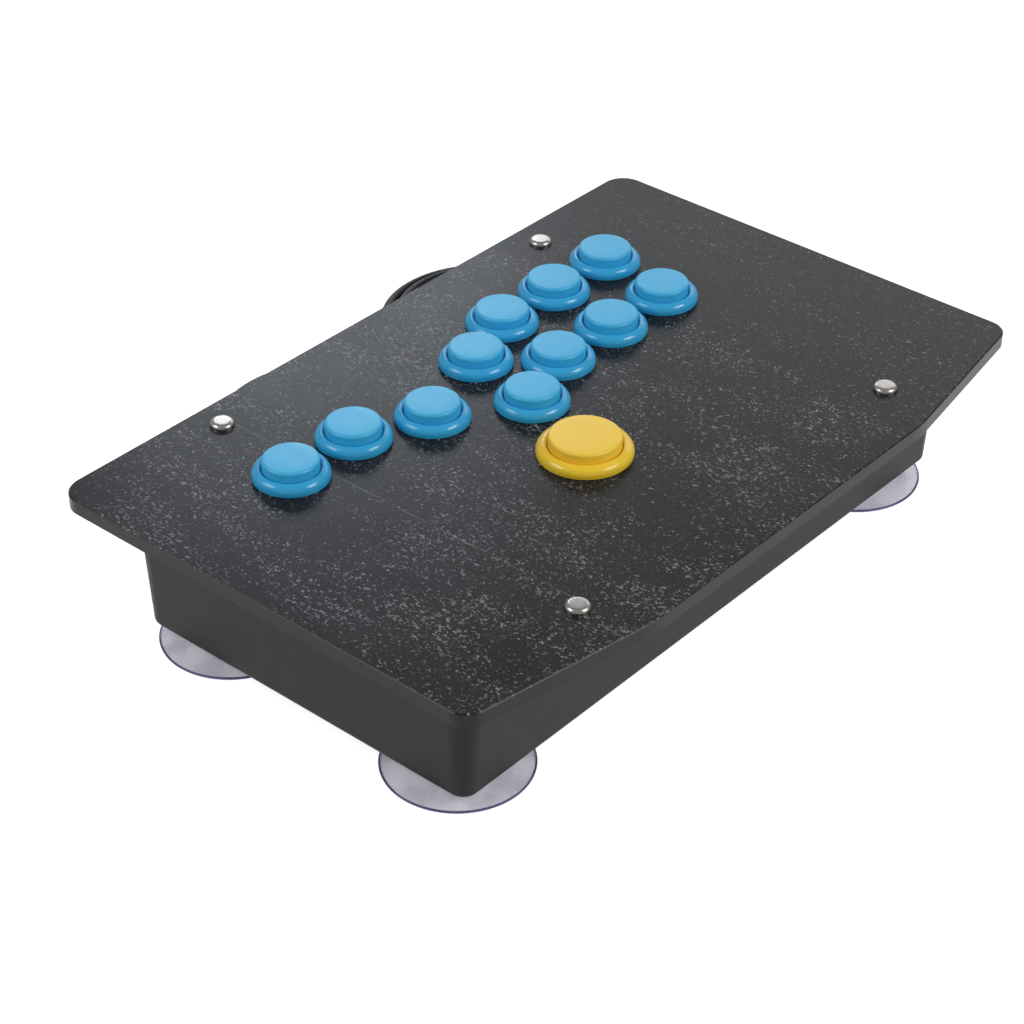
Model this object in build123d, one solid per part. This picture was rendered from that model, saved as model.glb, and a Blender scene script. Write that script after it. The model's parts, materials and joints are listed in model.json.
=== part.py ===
from build123d import *
import math
import os

os.makedirs("parts", exist_ok=True)

# All-button arcade control panel. Millimetres, +X along the front edge to the
# right, +Y to the back, +Z up. The origin is on the ground, under the middle of
# the top panel, with the leads and what is on them left out.

# Top panel
PANEL_LENGTH = 309.4
PANEL_DEPTH = 201.8
PANEL_THICK = 5.5
PANEL_TOP = 64.0
PANEL_UNDER = PANEL_TOP - PANEL_THICK
PANEL_EDGE_BREAK = 0.4
FRONT_STRAIGHT_HALF = 77.0
FRONT_TAPER_RISE = 12.75
FRONT_BLEND_RADIUS = 60.0
FRONT_CORNER_RADIUS = 8.0
BACK_CORNER_RADIUS = 9.5

# Case tray under the panel. Its middle lies a little behind the panel's.
FRAME_Y = 5.3
CASE_UNDER = 7.2
CASE_LENGTH = 272.0
CASE_DEPTH = 151.4
CASE_DRAFT_DEG = 3.1
CASE_CORNER_RADIUS = 6.0
CASE_BOTTOM_RADIUS = 2.0
CASE_WALL = 2.5
CASE_INNER_RADIUS = 1.5
CASE_FLOOR_TOP = CASE_UNDER + CASE_WALL
FLANGE_LENGTH = 292.0
FLANGE_DEPTH = 180.0
FLANGE_THICK = 3.0
FLANGE_CORNER_RADIUS = 10.0

# Panel fixings, M4
BOLT_SPACING_X = 176.0
BOLT_SPACING_Y = 165.3
BOLT_RADIUS = 2.0
BOLT_HOLE_RADIUS = 2.15
BOLT_LENGTH = 13.5
BOLT_HEAD_RADIUS = 4.5
BOLT_HEAD_HEIGHT = 2.0
NUT_M4_ACROSS_FLATS = 7.0
NUT_M4_HEIGHT = 3.2

# Suction cups, each on an M5 stud that goes through the case floor
CUP_SPACING_X = 230.0
CUP_SPACING_Y = 107.6
CUP_LIP_RADIUS = 27.0
CUP_LIP_FLAT = 2.0
CUP_LIP_THICK = 0.8
CUP_BOSS_RADIUS = 8.0
CUP_HOLLOW_HEIGHT = 3.2
STUD_RADIUS = 2.5
STUD_HOLE_RADIUS = 2.65
STUD_TOP = CASE_FLOOR_TOP + 7.5
STUD_PLATE_RADIUS = 5.5
STUD_PLATE_THICK = 1.0
STUD_PLATE_UNDER = CASE_UNDER - 2.2
NUT_M5_ACROSS_FLATS = 8.0
NUT_M5_HEIGHT = 4.0

# Push buttons: 11 of the 24 mm size and one of the 30 mm size.
# "rim" is the collar on the panel, "hole" the panel's cut-out.
SMALL = {"rim": 14.0, "mouth": 10.6, "bore": 11.1, "barrel": 11.9, "hole": 12.05, "cap": 10.3}
LARGE = {"rim": 17.5, "mouth": 13.6, "bore": 14.1, "barrel": 14.9, "hole": 15.05, "cap": 13.3}
BUTTONS = {
    "left": (-94.9, 46.4, SMALL),
    "down": (-63.8, 46.0, SMALL),
    "right": (-35.3, 34.1, SMALL),
    "jump": (-16.5, -21.3, LARGE),
    "upper_1": (3.1, 47.3, SMALL),
    "upper_2": (30.3, 58.2, SMALL),
    "upper_3": (61.0, 58.3, SMALL),
    "upper_4": (92.0, 58.2, SMALL),
    "lower_1": (-4.1, 13.8, SMALL),
    "lower_2": (23.9, 24.9, SMALL),
    "lower_3": (54.7, 24.8, SMALL),
    "lower_4": (85.6, 24.8, SMALL),
}
SWITCH_GROUPS = {
    "direction_switches": ["left", "down", "right", "jump"],
    "upper_row_switches": ["upper_1", "upper_2", "upper_3", "upper_4"],
    "lower_row_switches": ["lower_1", "lower_2", "lower_3", "lower_4"],
}
TRAVEL = 3.0
RUNNING_GAP = 0.1
RIM_HEIGHT = 4.2
RIM_SEAT_UNDER = -0.5
BARREL_UNDER = -22.0
BARREL_FLOOR = 2.0
CAP_ABOVE_RIM = 3.5
CAP_TOP = RIM_HEIGHT + CAP_ABOVE_RIM
CAP_ROOF = 2.0
CAP_WALL = 1.4
CAP_EDGE_RADIUS = 1.5
SKIRT_UNDER = -9.0
STEM_RADIUS = 2.5
STEM_UNDER = -18.7
PIN_RADIUS = 1.2
PIN_UNDER = -23.5
SPRING_SEAT_RADIUS = 5.2
SPRING_SEAT_UNDER = -6.0
SPRING_MEAN_RADIUS = 4.2
SPRING_WIRE = 0.7
SPRING_TURNS = 6
SNAP_WIDTH = 5.0
SNAP_REACH = 1.4
SNAP_LENGTH = 5.0

# Microswitch clipped under each button
SWITCH_LENGTH = 19.8
SWITCH_WIDTH = 6.4
SWITCH_HEIGHT = 10.2
SWITCH_TOP = BARREL_UNDER - 0.1
SWITCH_POCKET_RADIUS = 1.35
SWITCH_POCKET_DEPTH = 6.0
SWITCH_EYE_RADIUS = 1.2
SWITCH_EYE_X = 7.4
SWITCH_EYE_DROP = 3.0
CLIP_GAP = 0.1
CLIP_THICK = 1.4
CLIP_WIDTH = 8.0
CLIP_DROP = 8.0
BLADE_WIDTH = 3.2
BLADE_THICK = 0.5
BLADE_LENGTH = 6.5
BLADE_SPACING = 14.0

# Encoder board on posts of the case floor
BOARD_X = 57.0
BOARD_Y = -37.0
BOARD_LENGTH = 70.0
BOARD_WIDTH = 40.0
BOARD_THICK = 1.6
POST_RADIUS = 3.5
POST_HEIGHT = 5.0
POST_HOLE_RADIUS = 1.3
POST_INSET = 4.0
BOARD_TOP = CASE_FLOOR_TOP + POST_HEIGHT + BOARD_THICK
BOARD_SCREW_RADIUS = 1.2
BOARD_SCREW_HEAD_RADIUS = 2.7
BOARD_SCREW_HEAD_HEIGHT = 1.8
BOARD_HOLE_RADIUS = 1.6
HEADER_COUNT = 12
HEADER_PITCH = 4.6
HEADER_SIZE = (4.2, 5.8, 6.0)
CABLE_HEADER_SIZE = (7.0, 10.0, 6.0)

# Leads
CORD_DIAMETER = 4.0
GLAND_X = -52.0
GLAND_Z = 17.0
GLAND_PAD_RADIUS = 9.0
GLAND_PAD_FACE = 82.8
GLAND_HOLE_RADIUS = 5.0
GLAND_NECK_RADIUS = 4.9
GLAND_FLANGE_RADIUS = 7.0
GLAND_FLANGE_THICK = 2.5
GLAND_SLEEVE_LENGTH = 22.0
GLAND_SLEEVE_RADII = (4.6, 2.9)
GLAND_COLLAR_RADIUS = 6.5
GLAND_COLLAR_THICK = 3.0
GLAND_TIP = GLAND_PAD_FACE + GLAND_FLANGE_THICK + GLAND_SLEEVE_LENGTH

# Spare lead, gathered into a hank of two round ends and tied in its waist
HANK_X = 55.5
HANK_Y = 131.8
HANK_TURN_DEG = 3.25
LOBE_OFFSET = 51.2
LOBE_OUTER = 44.0
LOBE_INNER = 30.8
WAIST_HALF = 8.2
HANK_HEIGHT = 7.4
WAIST_LENGTH = 36.0
WAIST_TOP = 9.0
TIE_LENGTH = 10.0
TIE_THICK = 1.0

# USB plug at the lead's end
PLUG_X = -62.0
PLUG_Y = 94.0
PLUG_BODY = (26.0, 15.6, 8.0)
PLUG_NECK = 7.0
PLUG_SHELL = (18.7, 12.0, 4.5)
PLUG_SHELL_WALL = 0.4


def save(name, *pieces):
    """Write the solids of one node."""
    solids = [solid for piece in pieces for solid in piece.solids()]
    shape = solids[0] if len(solids) == 1 else Compound(solids)
    shape.label = name
    export_step(shape, f"parts/{name}.step")


def disc(radius, low, high):
    """A cylinder about Z from one height to another."""
    return Pos(0, 0, (low + high) / 2) * Cylinder(radius, high - low)


def block(x, y, z):
    """A box between two places on each axis."""
    middle = [(low + high) / 2 for low, high in (x, y, z)]
    return Pos(*middle) * Box(x[1] - x[0], y[1] - y[0], z[1] - z[0])


def turned(*edges):
    """A solid turned about Z from a closed outline in the XZ plane."""
    return revolve(make_face(Wire(edges)), Axis.Z)


def outline(*points):
    """Straight edges through points given as radius and height."""
    places = [Vector(r, 0, z) for r, z in points]
    return [Edge.make_line(a, b) for a, b in zip(places, places[1:])]


def bend(start, through, end):
    """A three-point arc given as radius and height."""
    return Edge.make_three_point_arc(*[Vector(r, 0, z) for r, z in (start, through, end)])


def corners(spacing_x, spacing_y, middle_x=0.0, middle_y=FRAME_Y):
    """The four places of a rectangular pattern."""
    return [
        (middle_x + sx * spacing_x / 2, middle_y + sy * spacing_y / 2)
        for sx in (-1, 1)
        for sy in (-1, 1)
    ]


def panel_outline():
    """Rectangle with a front edge that tapers back to its corners."""
    half, front, back = PANEL_LENGTH / 2, -PANEL_DEPTH / 2, PANEL_DEPTH / 2
    side_front = front + FRONT_TAPER_RISE
    points = [
        (-half, back),
        (-half, side_front),
        (-FRONT_STRAIGHT_HALF, front),
        (FRONT_STRAIGHT_HALF, front),
        (half, side_front),
        (half, back),
    ]
    face = make_face(Polyline(*points, close=True))
    at_front = [v for v in face.vertices() if abs(v.Y - front) < 0.1]
    face = fillet(at_front, FRONT_BLEND_RADIUS)
    side = [v for v in face.vertices() if abs(abs(v.X) - half) < 0.1 and v.Y < 0]
    face = fillet(side, FRONT_CORNER_RADIUS)
    rear = [v for v in face.vertices() if abs(v.Y - back) < 0.1]
    return fillet(rear, BACK_CORNER_RADIUS)


def top_panel():
    """Flat plate with one hole for each button and each bolt."""
    plate = Pos(0, 0, PANEL_UNDER) * extrude(panel_outline(), PANEL_THICK)
    rim = plate.edges().group_by(Axis.Z)[-1]
    plate = chamfer(rim, PANEL_EDGE_BREAK)
    for x, y, size in BUTTONS.values():
        plate -= Pos(x, y, 0) * disc(size["hole"], PANEL_UNDER - 1, PANEL_TOP + 1)
    for x, y in corners(BOLT_SPACING_X, BOLT_SPACING_Y):
        plate -= Pos(x, y, 0) * disc(BOLT_HOLE_RADIUS, PANEL_UNDER - 1, PANEL_TOP + 1)
    return plate


def drafted(length, depth, radius, low, high):
    """A block whose walls lean outward from its bottom to its top."""
    spread = (high - low) * math.tan(math.radians(CASE_DRAFT_DEG))
    bottom = RectangleRounded(length, depth, radius)
    top = RectangleRounded(length + 2 * spread, depth + 2 * spread, radius + spread)
    return loft([Pos(0, FRAME_Y, low) * bottom, Pos(0, FRAME_Y, high) * top])


def case_tray():
    """Open tray with a flange, board posts, and holes for studs and lead."""
    shell = drafted(CASE_LENGTH, CASE_DEPTH, CASE_CORNER_RADIUS, CASE_UNDER, PANEL_UNDER)
    bottom = shell.faces().sort_by(Axis.Z)[0]
    shell = fillet(bottom.edges(), CASE_BOTTOM_RADIUS)
    shell += Pos(0, FRAME_Y, PANEL_UNDER - FLANGE_THICK) * extrude(
        RectangleRounded(FLANGE_LENGTH, FLANGE_DEPTH, FLANGE_CORNER_RADIUS), FLANGE_THICK
    )
    pad = Pos(GLAND_X, GLAND_PAD_FACE, GLAND_Z) * Rot(90, 0, 0)
    shell += pad * disc(GLAND_PAD_RADIUS, 0, 3)
    room = drafted(
        CASE_LENGTH - 2 * CASE_WALL,
        CASE_DEPTH - 2 * CASE_WALL,
        CASE_CORNER_RADIUS - CASE_WALL,
        CASE_FLOOR_TOP,
        PANEL_UNDER + 1,
    )
    shell -= fillet(room.faces().sort_by(Axis.Z)[0].edges(), CASE_INNER_RADIUS)
    for x, y in board_corners():
        shell += Pos(x, y, 0) * disc(POST_RADIUS, CASE_FLOOR_TOP - 0.5, CASE_FLOOR_TOP + POST_HEIGHT)
        shell -= Pos(x, y, 0) * disc(POST_HOLE_RADIUS, CASE_FLOOR_TOP, CASE_FLOOR_TOP + POST_HEIGHT + 1)
    for x, y in corners(BOLT_SPACING_X, BOLT_SPACING_Y):
        shell -= Pos(x, y, 0) * disc(BOLT_HOLE_RADIUS, PANEL_UNDER - 2 * FLANGE_THICK, PANEL_UNDER + 1)
    for x, y in corners(CUP_SPACING_X, CUP_SPACING_Y):
        shell -= Pos(x, y, 0) * disc(STUD_HOLE_RADIUS, CASE_UNDER - 1, CASE_FLOOR_TOP + 1)
    return shell - pad * disc(GLAND_HOLE_RADIUS, -1, 12)


def board_corners():
    """Where the encoder board's four posts and screws are."""
    return corners(
        BOARD_LENGTH - 2 * POST_INSET, BOARD_WIDTH - 2 * POST_INSET, BOARD_X, BOARD_Y
    )


def hex_nut(across_flats, height, hole_radius, low):
    """A nut standing on a given height."""
    body = Pos(0, 0, low) * extrude(RegularPolygon(across_flats / 2, 6, major_radius=False), height)
    return body - disc(hole_radius, low - 1, low + height + 1)


def panel_bolt():
    """Domed head on the panel, shank down through panel and flange."""
    top = PANEL_TOP + BOLT_HEAD_HEIGHT
    shoulder = (BOLT_HEAD_RADIUS, PANEL_TOP + 0.5)
    crown = (BOLT_HEAD_RADIUS - 1.7, top)
    head = turned(
        *outline((0, PANEL_TOP), (BOLT_HEAD_RADIUS, PANEL_TOP), shoulder),
        bend(shoulder, (BOLT_HEAD_RADIUS - 0.55, top - 0.42), crown),
        *outline(crown, (0, top), (0, PANEL_TOP)),
    )
    return head + disc(BOLT_RADIUS, PANEL_TOP - BOLT_LENGTH, PANEL_TOP)


def suction_cup():
    """Shallow cup on its lip, hollow under, with a boss against the case."""
    flat = CUP_LIP_RADIUS - CUP_LIP_FLAT
    boss_foot = (CUP_BOSS_RADIUS, CASE_UNDER - 1.2)
    cup = turned(
        *outline((flat, 0), (CUP_LIP_RADIUS, 0), (CUP_LIP_RADIUS, CUP_LIP_THICK)),
        bend((CUP_LIP_RADIUS, CUP_LIP_THICK), (18.5, 3.6), boss_foot),
        *outline(boss_foot, (CUP_BOSS_RADIUS, CASE_UNDER), (0, CASE_UNDER), (0, CUP_HOLLOW_HEIGHT)),
        bend((0, CUP_HOLLOW_HEIGHT), (14.0, 2.2), (flat, 0)),
    )
    room = disc(STUD_PLATE_RADIUS, STUD_PLATE_UNDER, STUD_PLATE_UNDER + STUD_PLATE_THICK)
    return cup - room - disc(STUD_RADIUS, STUD_PLATE_UNDER, CASE_UNDER + 1)


def cup_stud():
    """Threaded stud whose round plate is moulded into the cup's boss."""
    plate = disc(STUD_PLATE_RADIUS, STUD_PLATE_UNDER, STUD_PLATE_UNDER + STUD_PLATE_THICK)
    return plate + disc(STUD_RADIUS, STUD_PLATE_UNDER, STUD_TOP)


def snap_hook(size):
    """Wedge on the barrel that catches under the panel."""
    start = size["barrel"] - 0.4
    top = -PANEL_THICK - 0.1
    wedge = make_face(
        Polyline(
            (start, 0, top),
            (size["barrel"] + SNAP_REACH, 0, top),
            (start, 0, top - SNAP_LENGTH),
            close=True,
        )
    )
    return extrude(wedge, SNAP_WIDTH / 2, both=True)


def button_housing(size):
    """Collar, barrel, floor, snap hooks and the switch's two clips."""
    crest = (size["mouth"] + 1.3, RIM_HEIGHT)
    lip = (size["mouth"], RIM_HEIGHT - 0.55)
    side = (size["rim"], 0.7)
    barrel_floor = BARREL_UNDER + BARREL_FLOOR
    hole = STEM_RADIUS + RUNNING_GAP
    body = turned(
        *outline((size["barrel"], 0), (size["rim"], 0), side),
        bend(side, (size["rim"] - 0.75, RIM_HEIGHT - 0.95), crest),
        bend(crest, (size["mouth"] + 0.45, RIM_HEIGHT - 0.12), lip),
        *outline(
            lip,
            (size["mouth"], RIM_SEAT_UNDER),
            (size["bore"], RIM_SEAT_UNDER),
            (size["bore"], barrel_floor),
            (hole, barrel_floor),
            (hole, BARREL_UNDER),
            (size["barrel"], BARREL_UNDER),
            (size["barrel"], 0),
        ),
    )
    for turn in (0, 180):
        body += Rot(0, 0, turn) * snap_hook(size)
    near = SWITCH_WIDTH / 2 + CLIP_GAP
    for low, high in ((-near - CLIP_THICK, -near), (near, near + CLIP_THICK)):
        body += block(
            (-CLIP_WIDTH / 2, CLIP_WIDTH / 2), (low, high), (BARREL_UNDER - CLIP_DROP, barrel_floor - 1)
        )
    return body


def button_plunger(size):
    """Hollow cap with a guide skirt, spring seat, stem and switch pin."""
    cap = disc(size["cap"], SKIRT_UNDER, CAP_TOP)
    cap = fillet(cap.edges().sort_by(Axis.Z)[-1], CAP_EDGE_RADIUS)
    skirt_top = RIM_SEAT_UNDER - RUNNING_GAP
    cap += disc(size["bore"] - RUNNING_GAP, SKIRT_UNDER, skirt_top)
    cap -= disc(size["cap"] - CAP_WALL, SKIRT_UNDER - 1, CAP_TOP - CAP_ROOF)
    cap += disc(SPRING_SEAT_RADIUS, SPRING_SEAT_UNDER, CAP_TOP - CAP_ROOF + 0.5)
    cap += disc(STEM_RADIUS, STEM_UNDER, SPRING_SEAT_UNDER + 1)
    return cap + disc(PIN_RADIUS, PIN_UNDER, STEM_UNDER + 1)


def return_spring():
    """Compression spring between the barrel's floor and the plunger."""
    low = BARREL_UNDER + BARREL_FLOOR + RUNNING_GAP / 2
    high = SPRING_SEAT_UNDER - RUNNING_GAP / 2
    rise = high - low - SPRING_WIRE
    path = Helix(pitch=rise / SPRING_TURNS, height=rise, radius=SPRING_MEAN_RADIUS)
    section = Plane(origin=path @ 0, z_dir=path % 0) * Circle(SPRING_WIRE / 2)
    return Pos(0, 0, low + SPRING_WIRE / 2) * sweep(section, path=path, is_frenet=True)


def microswitch():
    """Switch block with a pocket for the pin and two mounting eyes."""
    low = SWITCH_TOP - SWITCH_HEIGHT
    body = Pos(0, 0, (SWITCH_TOP + low) / 2) * Box(SWITCH_LENGTH, SWITCH_WIDTH, SWITCH_HEIGHT)
    body = fillet(body.edges().filter_by(Axis.Z), 0.6)
    body -= disc(SWITCH_POCKET_RADIUS, SWITCH_TOP - SWITCH_POCKET_DEPTH, SWITCH_TOP + 1)
    for x in (-SWITCH_EYE_X, SWITCH_EYE_X):
        eye = Pos(x, 0, SWITCH_TOP - SWITCH_EYE_DROP) * Rot(90, 0, 0)
        body -= eye * Cylinder(SWITCH_EYE_RADIUS, SWITCH_WIDTH + 2)
    return body


def switch_blades():
    """The two blade terminals under a switch."""
    high = SWITCH_TOP - SWITCH_HEIGHT
    blades = []
    for x in (-BLADE_SPACING / 2, BLADE_SPACING / 2):
        blades.append(
            block(
                (x - BLADE_WIDTH / 2, x + BLADE_WIDTH / 2),
                (-BLADE_THICK / 2, BLADE_THICK / 2),
                (high - BLADE_LENGTH, high),
            )
        )
    return blades


def encoder_board():
    """Circuit board with its four screw holes."""
    board = Pos(BOARD_X, BOARD_Y, BOARD_TOP - BOARD_THICK / 2) * Box(
        BOARD_LENGTH, BOARD_WIDTH, BOARD_THICK
    )
    for x, y in board_corners():
        board -= Pos(x, y, 0) * disc(BOARD_HOLE_RADIUS, BOARD_TOP - 3, BOARD_TOP + 1)
    return board


def on_board(dx, dy, size):
    """A block standing on the board, placed from its middle."""
    return Pos(BOARD_X + dx, BOARD_Y + dy, BOARD_TOP + size[2] / 2) * Box(*size)


def board_headers():
    """One two-pin header for each button, in a row, and the lead's header."""
    row = [(i - (HEADER_COUNT - 1) / 2) * HEADER_PITCH for i in range(HEADER_COUNT)]
    headers = [on_board(dx, 12.5, HEADER_SIZE) for dx in row]
    edge = -BOARD_LENGTH / 2 + CABLE_HEADER_SIZE[0] / 2
    return headers + [on_board(edge, -2.0, CABLE_HEADER_SIZE)]


def board_chips():
    """Controller, oscillator and two small parts."""
    chips = [((2.0, -3.0), (10.0, 10.0, 1.6)), ((16.0, -6.0), (11.0, 4.6, 3.4))]
    chips += [((-12.0, -12.0), (3.2, 1.8, 1.2)), ((-6.0, -12.0), (3.2, 1.8, 1.2))]
    return [on_board(dx, dy, size) for (dx, dy), size in chips]


def board_screw():
    """Pan-head screw through the board into its post."""
    head = disc(BOARD_SCREW_HEAD_RADIUS, BOARD_TOP, BOARD_TOP + BOARD_SCREW_HEAD_HEIGHT)
    head = fillet(head.edges().sort_by(Axis.Z)[-1], 0.8)
    return head + disc(BOARD_SCREW_RADIUS, CASE_FLOOR_TOP + 1, BOARD_TOP)


def cable_gland():
    """Moulded strain relief seated in the back wall, pointing back."""
    seat = (GLAND_FLANGE_RADIUS, GLAND_PAD_FACE)
    flange_back = GLAND_PAD_FACE + GLAND_FLANGE_THICK
    inner = GLAND_PAD_FACE - 3.0 - CASE_WALL + 0.8
    wide, narrow = GLAND_SLEEVE_RADII
    points = [
        (0, inner - GLAND_COLLAR_THICK),
        (GLAND_COLLAR_RADIUS, inner - GLAND_COLLAR_THICK),
        (GLAND_COLLAR_RADIUS, inner),
        (GLAND_NECK_RADIUS, inner),
        (GLAND_NECK_RADIUS, GLAND_PAD_FACE),
        seat,
        (GLAND_FLANGE_RADIUS, flange_back),
        (wide, flange_back),
        (narrow, GLAND_TIP),
        (0, GLAND_TIP),
        (0, inner - GLAND_COLLAR_THICK),
    ]
    return Pos(GLAND_X, 0, GLAND_Z) * Rot(-90, 0, 0) * turned(*outline(*points))


def cord_tube(name, points):
    """Round cord along straight runs joined by arcs as large as they allow."""
    places = [Vector(*p) for p in points]
    radii = []
    for before, here, after in zip(places, places[1:], places[2:]):
        one, two = here - before, after - here
        half_turn = math.radians(one.get_angle(two)) / 2
        radii.append(0.45 * min(one.length, two.length) / math.tan(half_turn))
    path = FilletPolyline(*points, radius=radii)
    section = Plane(origin=path @ 0, z_dir=path % 0) * Circle(CORD_DIAMETER / 2)
    tube = sweep(section, path=path)
    share = tube.volume / (math.pi * CORD_DIAMETER**2 / 4 * path.length)
    print(name, "length", round(path.length, 1), "volume share", round(share, 4))
    print(name, "radii", [round(r, 1) for r in radii])
    return tube


def hank():
    """Outer shape of the spare lead's turns, without the tie's room."""
    sides = []
    for side in (-1, 1):
        lobe = Pos(side * LOBE_OFFSET, 0) * Circle(LOBE_OUTER)
        waist = Edge.make_line((0, -WAIST_HALF, 0), (0, WAIST_HALF, 0))
        eye = Pos(side * LOBE_OFFSET, 0) * Circle(LOBE_INNER)
        point = Edge.make_line((side * 13.0, -0.2, 0), (side * 13.0, 0.2, 0))
        sides.append(make_hull([*lobe.edges(), waist]) - make_hull([*eye.edges(), point]))
    flat = extrude(sides[0] + sides[1], HANK_HEIGHT)
    low = WAIST_LENGTH / 2
    flat += block((-low, low), (-WAIST_HALF, WAIST_HALF), (0, WAIST_TOP))
    return flat - tie_ring()


def tie_ring():
    """Flat strap round the waist, at the hank's own middle."""
    low = TIE_LENGTH / 2
    inside = WAIST_HALF
    strap = block(
        (-low, low), (-inside - TIE_THICK, inside + TIE_THICK), (0, WAIST_TOP + TIE_THICK)
    )
    return strap - block((-low - 1, low + 1), (-inside, inside), (TIE_THICK, WAIST_TOP))


def plug_body():
    """Moulded grip of the plug, with a short neck towards the cord."""
    length, width, height = PLUG_BODY
    grip = Pos(PLUG_X - length / 2, PLUG_Y, height / 2) * Box(length, width, height)
    grip = fillet(grip.edges().filter_by(Axis.X), 1.8)
    neck = Pos(PLUG_X + PLUG_NECK / 2 - 0.5, PLUG_Y, height / 2) * Rot(0, 90, 0)
    return grip + neck * Cylinder(3.2, PLUG_NECK + 1)


def plug_shell():
    """Open metal shell of the plug with its contact tongue."""
    length, width, height = PLUG_SHELL
    near = PLUG_X - PLUG_BODY[0]
    middle = PLUG_BODY[2] / 2
    tube = Pos(near - length / 2, PLUG_Y, middle) * Box(length, width, height)
    inner = Pos(near - length / 2 - 1, PLUG_Y, middle) * Box(
        length, width - 2 * PLUG_SHELL_WALL, height - 2 * PLUG_SHELL_WALL
    )
    tongue = block(
        (near - length + 1, near - 0.5),
        (PLUG_Y - width / 2 + 0.3, PLUG_Y + width / 2 - 0.3),
        (middle - height / 2 + 0.3, middle - 0.2),
    )
    return tube - inner + tongue


save("top_panel", top_panel())
save("case_tray", case_tray())

bolt_places = corners(BOLT_SPACING_X, BOLT_SPACING_Y)
nut = hex_nut(NUT_M4_ACROSS_FLATS, NUT_M4_HEIGHT, BOLT_RADIUS, PANEL_UNDER - FLANGE_THICK - NUT_M4_HEIGHT)
save("panel_bolts", *[Pos(x, y, 0) * panel_bolt() for x, y in bolt_places])
save("panel_nuts", *[Pos(x, y, 0) * nut for x, y in bolt_places])

cup_places = corners(CUP_SPACING_X, CUP_SPACING_Y)
cup_nut = hex_nut(NUT_M5_ACROSS_FLATS, NUT_M5_HEIGHT, STUD_RADIUS, CASE_FLOOR_TOP)
save("suction_cups", *[Pos(x, y, 0) * suction_cup() for x, y in cup_places])
save("cup_studs", *[Pos(x, y, 0) * cup_stud() for x, y in cup_places])
save("cup_nuts", *[Pos(x, y, 0) * cup_nut for x, y in cup_places])

spring = return_spring()
switch = microswitch()
terminals = []
for label, (x, y, size) in BUTTONS.items():
    place = Pos(x, y, PANEL_TOP)
    save(f"{label}_housing", place * button_housing(size))
    save(f"{label}_plunger", place * button_plunger(size))
    save(f"{label}_spring", place * spring)
    terminals += [place * blade for blade in switch_blades()]
for group, labels in SWITCH_GROUPS.items():
    save(group, *[Pos(BUTTONS[b][0], BUTTONS[b][1], PANEL_TOP) * switch for b in labels])
save("switch_terminals", *terminals)

save("encoder_board", encoder_board())
save("board_headers", *board_headers())
save("board_chips", *board_chips())
save("board_screws", *[Pos(x, y, 0) * board_screw() for x, y in board_corners()])

save("cable_gland", cable_gland())
cord_inside = cord_tube(
    "usb_cord_inside",
    [
        (GLAND_X, GLAND_PAD_FACE - 7.7, GLAND_Z),
        (GLAND_X, 58.0, GLAND_Z),
        (-41.0, 36.0, 13.0),
        (-20.0, 10.0, 12.0),
        (-12.0, -16.0, 14.0),
        (2.0, BOARD_Y - 2.0, BOARD_TOP + 3.0),
        (BOARD_X - BOARD_LENGTH / 2, BOARD_Y - 2.0, BOARD_TOP + 3.0),
    ],
)
save("usb_cord_inside", cord_inside)
cord_lead = cord_tube(
    "usb_cord_lead",
    [
        (GLAND_X, GLAND_TIP, GLAND_Z),
        (GLAND_X, 117.5, GLAND_Z),
        (-47.0, 128.5, 14.0),
        (-39.0, 138.6, 9.8),
        (-29.4, 147.4, 6.7),
        (-18.3, 155.9, 5.3),
    ],
)
save("usb_cord_lead", cord_lead)
hank_place = Pos(HANK_X, HANK_Y, 0) * Rot(0, 0, HANK_TURN_DEG)
save("usb_cord_hank", hank_place * hank())
save("hank_tie", hank_place * tie_ring())
cord_tail = cord_tube(
    "usb_cord_tail",
    [
        (4.4, 86.9, 2.0),
        (-12.0, 86.4, 2.0),
        (-27.0, 89.0, 2.6),
        (-41.0, PLUG_Y, PLUG_BODY[2] / 2),
        (PLUG_X + PLUG_NECK, PLUG_Y, PLUG_BODY[2] / 2),
    ],
)
save("usb_cord_tail", cord_tail)
save("plug_body", plug_body())
save("plug_shell", plug_shell())
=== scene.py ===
import json
import math

import bmesh
import bpy
from mathutils import Matrix, Quaternion, Vector

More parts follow.
